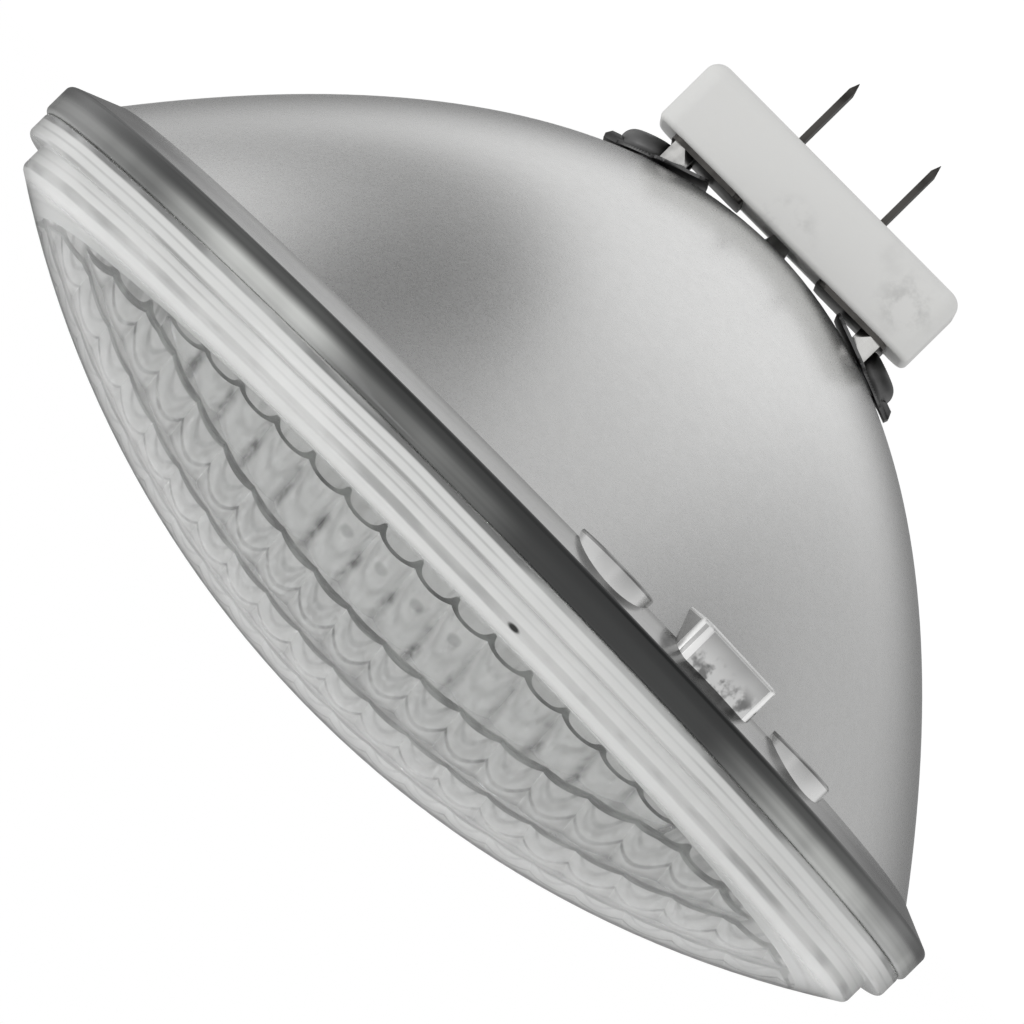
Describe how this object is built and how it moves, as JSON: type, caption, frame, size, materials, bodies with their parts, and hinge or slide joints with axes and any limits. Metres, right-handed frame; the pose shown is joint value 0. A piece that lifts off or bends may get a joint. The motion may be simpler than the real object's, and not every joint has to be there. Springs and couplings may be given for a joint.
{
  "type": "par spotlight bulb",
  "caption": "Sealed pressed-glass reflector bulb: a silvered bowl with a rim flange, a domed lens fluted inside, and a white ceramic block with flat contact blades.",
  "frame": {"origin": "centre of the rim flange, half way through its thickness", "axes": "+Z along the optical axis towards the lens, X along the line of the contact blades"},
  "size_m": [0.1778, 0.1778, 0.1213],
  "materials": {
    "clear_glass": "clear pressed borosilicate glass",
    "silvered_glass": "pressed glass silvered on the inside, satin from outside",
    "ceramic": "satin white",
    "tungsten": "bare tungsten wire",
    "blade_metal": "darkened plate",
    "bright_metal": "bright tinned metal",
    "dark_metal": "dull oxidised sheet"
  },
  "bodies": {
    "root": {"lens": "clear_glass", "reflector": "silvered_glass", "ceramic_block": "ceramic", "filament": "tungsten", "contact_blade_left": "blade_metal", "terminal_posts_left": "bright_metal", "terminal_cap_left": "dark_metal", "ferrule_left": "dark_metal", "lead_wire_left": "bright_metal", "contact_blade_right": "blade_metal", "terminal_posts_right": "bright_metal", "terminal_cap_right": "dark_metal", "ferrule_right": "dark_metal", "lead_wire_right": "bright_metal"}
  },
  "joints": []
}
